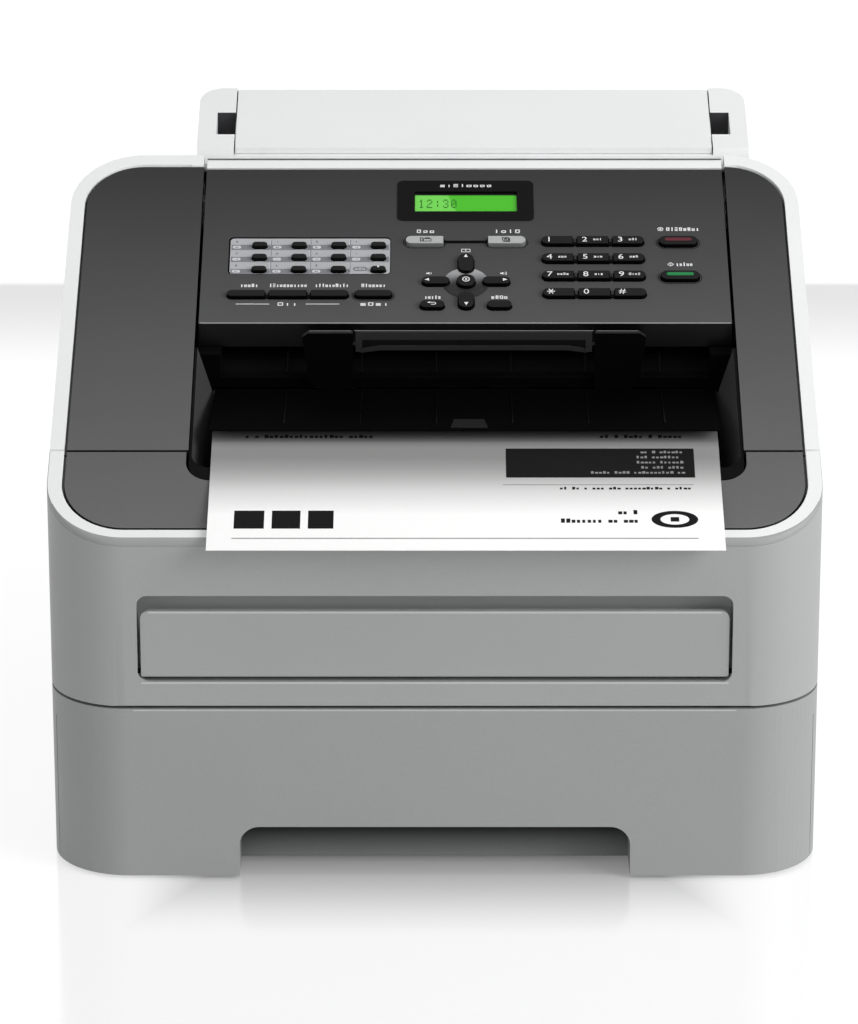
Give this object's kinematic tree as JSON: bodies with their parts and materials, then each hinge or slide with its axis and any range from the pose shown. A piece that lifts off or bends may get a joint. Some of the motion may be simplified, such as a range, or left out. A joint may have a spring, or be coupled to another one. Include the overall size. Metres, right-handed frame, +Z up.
{
  "type": "fax machine",
  "caption": "Desktop laser fax machine with a sloped top, lifting control panel, output recess, paper drawer, hand-feed door, front and rear covers and folding document support.",
  "frame": {"origin": "middle of the footprint, on the table under the feet", "axes": "+Z up, -Y towards the operator, +X to the operator's right"},
  "size_m": [0.368, 0.372, 0.3069],
  "materials": {
    "grey_casing": "fine moulded texture",
    "white_casing": "satin moulded",
    "charcoal_panel": "fine matte grain",
    "black_plastic": "satin moulded",
    "chassis": "moulded",
    "rubber": "matte",
    "fuser_coating": "smooth coating",
    "drum_coating": "smooth coloured coating",
    "steel": "zinc plated",
    "nylon": "natural nylon",
    "cartridge": "satin",
    "circuit_board": "solder mask",
    "display": "glossy bezel",
    "black_key": "satin key cap",
    "grey_key": "satin key cap",
    "stop_key_cap": "satin key cap with a red bar",
    "start_key_cap": "satin key cap with a green bar",
    "paper": "uncoated paper"
  },
  "bodies": {
    "root": {"base_frame": "chassis", "body_shell": "grey_casing", "top_frame": "white_casing", "top_side_panels": "charcoal_panel", "output_bed": "black_plastic", "support_casing": "white_casing", "rubber_feet": "rubber", "laser_unit": "cartridge", "main_board": "circuit_board", "rear_sockets": "black_plastic", "document_chute": "black_plastic", "toner_cartridge": "cartridge"},
    "paper_tray": {"tray_front": "grey_casing", "tray_box": "black_plastic"},
    "paper_lift": {"lift_plate": "steel"},
    "front_door": {"front_cover": "grey_casing", "front_rim": "white_casing", "front_lip": "charcoal_panel"},
    "hand_feed_door": {"manual_feed_door": "grey_casing"},
    "panel": {"control_panel": "charcoal_panel", "panel_strip": "white_casing", "lcd_screen": "display"},
    "document_stop": {"stop_bar": "black_plastic"},
    "document_support": {"document_flap": "white_casing"},
    "rear_door": {"rear_cover": "grey_casing"},
    "drum": {"drum_roller": "drum_coating"},
    "heat": {"heat_roller": "fuser_coating"},
    "pressure": {"pressure_roller": "rubber"},
    "pickup": {"pickup_roller": "rubber"},
    "document_feed": {"document_roller": "rubber"},
    "idler": {"drive_gear": "nylon"},
    "page": {"printed_page": "paper"},
    "key_1_cap": {"key_1": "black_key"},
    "key_2_cap": {"key_2": "black_key"},
    "key_3_cap": {"key_3": "black_key"},
    "key_4_cap": {"key_4": "black_key"},
    "key_5_cap": {"key_5": "black_key"},
    "key_6_cap": {"key_6": "black_key"},
    "key_7_cap": {"key_7": "black_key"},
    "key_8_cap": {"key_8": "black_key"},
    "key_9_cap": {"key_9": "black_key"},
    "key_star_cap": {"key_star": "black_key"},
    "key_0_cap": {"key_0": "black_key"},
    "key_hash_cap": {"key_hash": "black_key"},
    "one_touch_row_1_cap": {"one_touch_row_1": "black_key"},
    "one_touch_row_2_cap": {"one_touch_row_2": "black_key"},
    "one_touch_row_3_cap": {"one_touch_row_3": "black_key"},
    "fax_key_strip_cap": {"fax_key_strip": "black_key"},
    "options_key_cap": {"options_key": "black_key"},
    "fax_mode_key_cap": {"fax_mode_key": "grey_key"},
    "copy_mode_key_cap": {"copy_mode_key": "grey_key"},
    "arrow_up_cap": {"arrow_up": "black_key"},
    "arrow_down_cap": {"arrow_down": "black_key"},
    "arrow_left_cap": {"arrow_left": "black_key"},
    "arrow_right_cap": {"arrow_right": "black_key"},
    "ok_key_cap": {"ok_key": "black_key"},
    "clear_key_cap": {"clear_key": "black_key"},
    "menu_key_cap": {"menu_key": "black_key"},
    "stop_key_cap": {"stop_key": "stop_key_cap"},
    "start_key_cap": {"start_key": "start_key_cap"}
  },
  "joints": [
    {"name": "tray_slide", "type": "slide", "parent": "root", "child": "paper_tray", "axis": [0, -1, 0], "range_m": [0, 0.25]},
    {"name": "lift_plate_tilt", "type": "hinge", "parent": "paper_tray", "child": "paper_lift", "pos_m": [0, 0.066, 0.011], "axis": [-1, 0, 0], "range_deg": [0, 12]},
    {"name": "front_cover_open", "type": "hinge", "parent": "root", "child": "front_door", "pos_m": [0, -0.1706, 0.0914], "axis": [1, 0, 0], "range_deg": [0, 80], "deforming": ["printed_page"]},
    {"name": "hand_feed_door_open", "type": "hinge", "parent": "front_door", "child": "hand_feed_door", "pos_m": [0, -0.1716, 0.1058], "axis": [1, 0, 0], "range_deg": [0, 85]},
    {"name": "control_panel_lift", "type": "hinge", "parent": "root", "child": "panel", "pos_m": [0, 0.08755, 0.28135], "axis": [-1, 0, 0], "range_deg": [0, 45]},
    {"name": "document_stop_fold", "type": "hinge", "parent": "root", "child": "document_stop", "pos_m": [0, -0.046, 0.2285], "axis": [1, 0, 0], "range_deg": [0, 90]},
    {"name": "document_support_unfold", "type": "hinge", "parent": "root", "child": "document_support", "pos_m": [0, 0.1505, 0.30487], "axis": [-1, 0, 0], "range_deg": [0, 150]},
    {"name": "rear_cover_open", "type": "hinge", "parent": "root", "child": "rear_door", "pos_m": [0, 0.18, 0.093], "axis": [-1, 0, 0], "range_deg": [0, 80]},
    {"name": "heat_roller_spin", "type": "hinge", "parent": "root", "child": "heat", "pos_m": [0, 0.126, 0.1123], "axis": [1, 0, 0], "continuous": true},
    {"name": "pressure_roller_spin", "type": "hinge", "parent": "root", "child": "pressure", "pos_m": [0, 0.126, 0.088], "axis": [1, 0, 0], "continuous": true},
    {"name": "drive_gear_spin", "type": "hinge", "parent": "root", "child": "idler", "pos_m": [-0.155, 0.096, 0.1123], "axis": [1, 0, 0], "continuous": true},
    {"name": "drum_spin", "type": "hinge", "parent": "root", "child": "drum", "pos_m": [0, -0.011, 0.11], "axis": [1, 0, 0], "continuous": true},
    {"name": "pickup_roller_spin", "type": "hinge", "parent": "root", "child": "pickup", "pos_m": [0, -0.089, 0.078], "axis": [1, 0, 0], "continuous": true},
    {"name": "document_roller_spin", "type": "hinge", "parent": "root", "child": "document_feed", "pos_m": [0, 0.026, 0.24036], "axis": [1, 0, 0], "continuous": true},
    {"name": "page_slide", "type": "slide", "parent": "root", "child": "page", "axis": [0, -1, 0], "range_m": [0, 0.09]},
    {"name": "key_1_press", "type": "slide", "parent": "panel", "child": "key_1_cap", "axis": [0, 0.3987, -0.9171], "range_m": [0, 0.001], "stiffness_N_per_m": 400, "springref_m": -0.002},
    {"name": "key_2_press", "type": "slide", "parent": "panel", "child": "key_2_cap", "axis": [0, 0.3987, -0.9171], "range_m": [0, 0.001], "stiffness_N_per_m": 400, "springref_m": -0.002},
    {"name": "key_3_press", "type": "slide", "parent": "panel", "child": "key_3_cap", "axis": [0, 0.3987, -0.9171], "range_m": [0, 0.001], "stiffness_N_per_m": 400, "springref_m": -0.002},
    {"name": "key_4_press", "type": "slide", "parent": "panel", "child": "key_4_cap", "axis": [0, 0.3987, -0.9171], "range_m": [0, 0.001], "stiffness_N_per_m": 400, "springref_m": -0.002},
    {"name": "key_5_press", "type": "slide", "parent": "panel", "child": "key_5_cap", "axis": [0, 0.3987, -0.9171], "range_m": [0, 0.001], "stiffness_N_per_m": 400, "springref_m": -0.002},
    {"name": "key_6_press", "type": "slide", "parent": "panel", "child": "key_6_cap", "axis": [0, 0.3987, -0.9171], "range_m": [0, 0.001], "stiffness_N_per_m": 400, "springref_m": -0.002},
    {"name": "key_7_press", "type": "slide", "parent": "panel", "child": "key_7_cap", "axis": [0, 0.3987, -0.9171], "range_m": [0, 0.001], "stiffness_N_per_m": 400, "springref_m": -0.002},
    {"name": "key_8_press", "type": "slide", "parent": "panel", "child": "key_8_cap", "axis": [0, 0.3987, -0.9171], "range_m": [0, 0.001], "stiffness_N_per_m": 400, "springref_m": -0.002},
    {"name": "key_9_press", "type": "slide", "parent": "panel", "child": "key_9_cap", "axis": [0, 0.3987, -0.9171], "range_m": [0, 0.001], "stiffness_N_per_m": 400, "springref_m": -0.002},
    {"name": "key_star_press", "type": "slide", "parent": "panel", "child": "key_star_cap", "axis": [0, 0.3987, -0.9171], "range_m": [0, 0.001], "stiffness_N_per_m": 400, "springref_m": -0.002},
    {"name": "key_0_press", "type": "slide", "parent": "panel", "child": "key_0_cap", "axis": [0, 0.3987, -0.9171], "range_m": [0, 0.001], "stiffness_N_per_m": 400, "springref_m": -0.002},
    {"name": "key_hash_press", "type": "slide", "parent": "panel", "child": "key_hash_cap", "axis": [0, 0.3987, -0.9171], "range_m": [0, 0.001], "stiffness_N_per_m": 400, "springref_m": -0.002},
    {"name": "one_touch_row_1_press", "type": "slide", "parent": "panel", "child": "one_touch_row_1_cap", "axis": [0, 0.3987, -0.9171], "range_m": [0, 0.001], "stiffness_N_per_m": 400, "springref_m": -0.002},
    {"name": "one_touch_row_2_press", "type": "slide", "parent": "panel", "child": "one_touch_row_2_cap", "axis": [0, 0.3987, -0.9171], "range_m": [0, 0.001], "stiffness_N_per_m": 400, "springref_m": -0.002},
    {"name": "one_touch_row_3_press", "type": "slide", "parent": "panel", "child": "one_touch_row_3_cap", "axis": [0, 0.3987, -0.9171], "range_m": [0, 0.001], "stiffness_N_per_m": 400, "springref_m": -0.002},
    {"name": "fax_key_strip_press", "type": "slide", "parent": "panel", "child": "fax_key_strip_cap", "axis": [0, 0.3987, -0.9171], "range_m": [0, 0.001], "stiffness_N_per_m": 400, "springref_m": -0.002},
    {"name": "options_key_press", "type": "slide", "parent": "panel", "child": "options_key_cap", "axis": [0, 0.3987, -0.9171], "range_m": [0, 0.001], "stiffness_N_per_m": 400, "springref_m": -0.002},
    {"name": "fax_mode_key_press", "type": "slide", "parent": "panel", "child": "fax_mode_key_cap", "axis": [0, 0.3987, -0.9171], "range_m": [0, 0.001], "stiffness_N_per_m": 400, "springref_m": -0.002},
    {"name": "copy_mode_key_press", "type": "slide", "parent": "panel", "child": "copy_mode_key_cap", "axis": [0, 0.3987, -0.9171], "range_m": [0, 0.001], "stiffness_N_per_m": 400, "springref_m": -0.002},
    {"name": "arrow_up_press", "type": "slide", "parent": "panel", "child": "arrow_up_cap", "axis": [0, 0.3987, -0.9171], "range_m": [0, 0.001], "stiffness_N_per_m": 400, "springref_m": -0.002},
    {"name": "arrow_down_press", "type": "slide", "parent": "panel", "child": "arrow_down_cap", "axis": [0, 0.3987, -0.9171], "range_m": [0, 0.001], "stiffness_N_per_m": 400, "springref_m": -0.002},
    {"name": "arrow_left_press", "type": "slide", "parent": "panel", "child": "arrow_left_cap", "axis": [0, 0.3987, -0.9171], "range_m": [0, 0.001], "stiffness_N_per_m": 400, "springref_m": -0.002},
    {"name": "arrow_right_press", "type": "slide", "parent": "panel", "child": "arrow_right_cap", "axis": [0, 0.3987, -0.9171], "range_m": [0, 0.001], "stiffness_N_per_m": 400, "springref_m": -0.002},
    {"name": "ok_key_press", "type": "slide", "parent": "panel", "child": "ok_key_cap", "axis": [0, 0.3987, -0.9171], "range_m": [0, 0.001], "stiffness_N_per_m": 400, "springref_m": -0.002},
    {"name": "clear_key_press", "type": "slide", "parent": "panel", "child": "clear_key_cap", "axis": [0, 0.3987, -0.9171], "range_m": [0, 0.001], "stiffness_N_per_m": 400, "springref_m": -0.002},
    {"name": "menu_key_press", "type": "slide", "parent": "panel", "child": "menu_key_cap", "axis": [0, 0.3987, -0.9171], "range_m": [0, 0.001], "stiffness_N_per_m": 400, "springref_m": -0.002},
    {"name": "stop_key_press", "type": "slide", "parent": "panel", "child": "stop_key_cap", "axis": [0, 0.3987, -0.9171], "range_m": [0, 0.001], "stiffness_N_per_m": 400, "springref_m": -0.002},
    {"name": "start_key_press", "type": "slide", "parent": "panel", "child": "start_key_cap", "axis": [0, 0.3987, -0.9171], "range_m": [0, 0.001], "stiffness_N_per_m": 400, "springref_m": -0.002}
  ],
  "couplings": [
    {"joint": "pressure_roller_spin", "follows": "heat_roller_spin", "ratio": -1},
    {"joint": "drive_gear_spin", "follows": "heat_roller_spin", "ratio": -0.66667},
    {"joint": "drum_spin", "follows": "heat_roller_spin", "ratio": 1}
  ]
}
